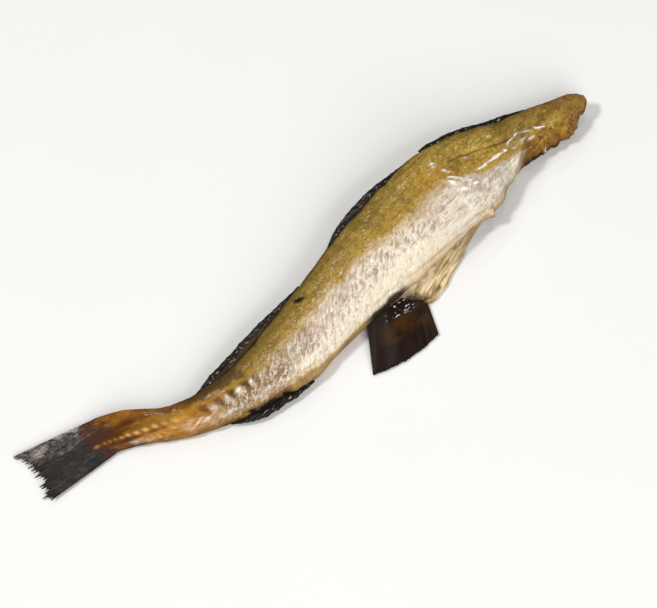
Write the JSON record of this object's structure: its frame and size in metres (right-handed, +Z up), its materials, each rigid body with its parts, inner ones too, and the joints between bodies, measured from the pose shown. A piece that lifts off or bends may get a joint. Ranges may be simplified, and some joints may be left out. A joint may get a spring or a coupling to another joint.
{
  "type": "semi-dried young pollock",
  "caption": "Headless, gutted young pollock, semi-dried, lying on its side with the belly slit open and the fins folded or spread flat.",
  "frame": {"origin": "middle of the box at its foot, on the surface the fish lies on", "axes": "+X from the tail to the cut nape, +Y to the back, +Z up out of the shown flank"},
  "size_m": [0.2934, 0.0758, 0.027],
  "materials": {
    "fish": "moist semi-dried skin, olive-brown on the back, silvery white on the belly, near-black fins"
  },
  "bodies": {
    "root": {"pollock": "fish"}
  },
  "joints": []
}
